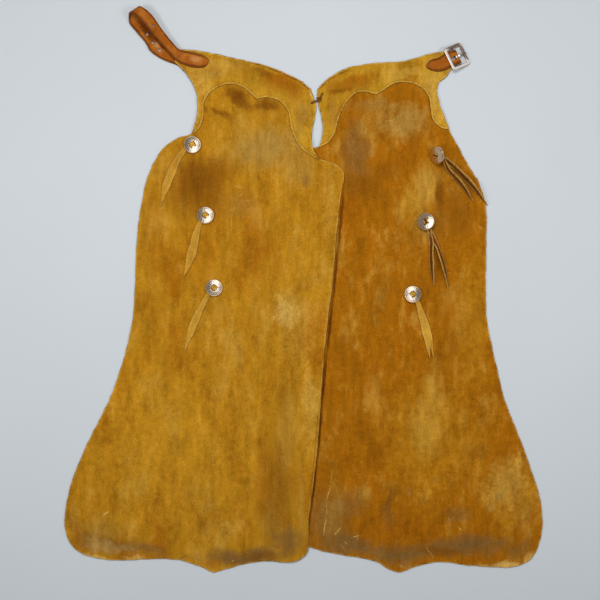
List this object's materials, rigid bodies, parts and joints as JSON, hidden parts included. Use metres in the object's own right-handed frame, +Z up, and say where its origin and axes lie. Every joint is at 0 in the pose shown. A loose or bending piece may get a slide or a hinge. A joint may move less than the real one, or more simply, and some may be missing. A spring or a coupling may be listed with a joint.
{
  "type": "leather chaps",
  "caption": "Suede leather chaps laid flat: overlapping leg panels with scalloped yokes, a belt strap and buckle, and domed conchos tied on with thongs.",
  "frame": {"origin": "on the surface that the garment lies on, under the middle of its whole outline", "axes": "+X to the right of the garment as it lies face up, +Y towards the waist, +Z up off the surface"},
  "size_m": [0.884, 1.0454, 0.0297],
  "materials": {
    "left_suede": "worn ochre suede, napped, matt",
    "right_suede": "worn red-brown suede, napped, matt",
    "yoke_suede": "yellow-tan suede, napped, matt",
    "strap_leather": "smooth oiled strap leather, satin",
    "tie_suede": "suede thong, matt, pale cut edges",
    "silver": "engraved silver-coloured metal, worn polish",
    "steel": "polished plated buckle, light scratches"
  },
  "bodies": {
    "garment": {"left_leg": "left_suede", "right_leg": "right_suede", "left_yoke": "yoke_suede", "right_yoke": "yoke_suede", "billet_strap": "strap_leather", "buckle_chape": "strap_leather", "centre_lace": "tie_suede", "concho_left_1": "silver", "concho_left_2": "silver", "concho_left_3": "silver", "concho_right_1": "silver", "concho_right_2": "silver", "concho_right_3": "silver", "tie_left_1": "tie_suede", "tie_left_2": "tie_suede", "tie_left_3": "tie_suede", "tie_right_1": "tie_suede", "tie_right_2": "tie_suede", "tie_right_3": "tie_suede"},
    "buckle_frame": {"buckle_frame": "steel"},
    "buckle_tongue": {"buckle_tongue": "steel"}
  },
  "joints": [
    {"name": "buckle_tilt", "type": "hinge", "parent": "garment", "child": "buckle_frame", "pos_m": [0.283, 0.43084, 0.0041], "axis": [-0.4305, 0.9026, 0], "range_deg": [0, 40]},
    {"name": "tongue_swing", "type": "hinge", "parent": "buckle_frame", "child": "buckle_tongue", "pos_m": [0.283, 0.43084, 0.0041], "axis": [0.4305, -0.9026, 0], "range_deg": [0, 130]}
  ]
}
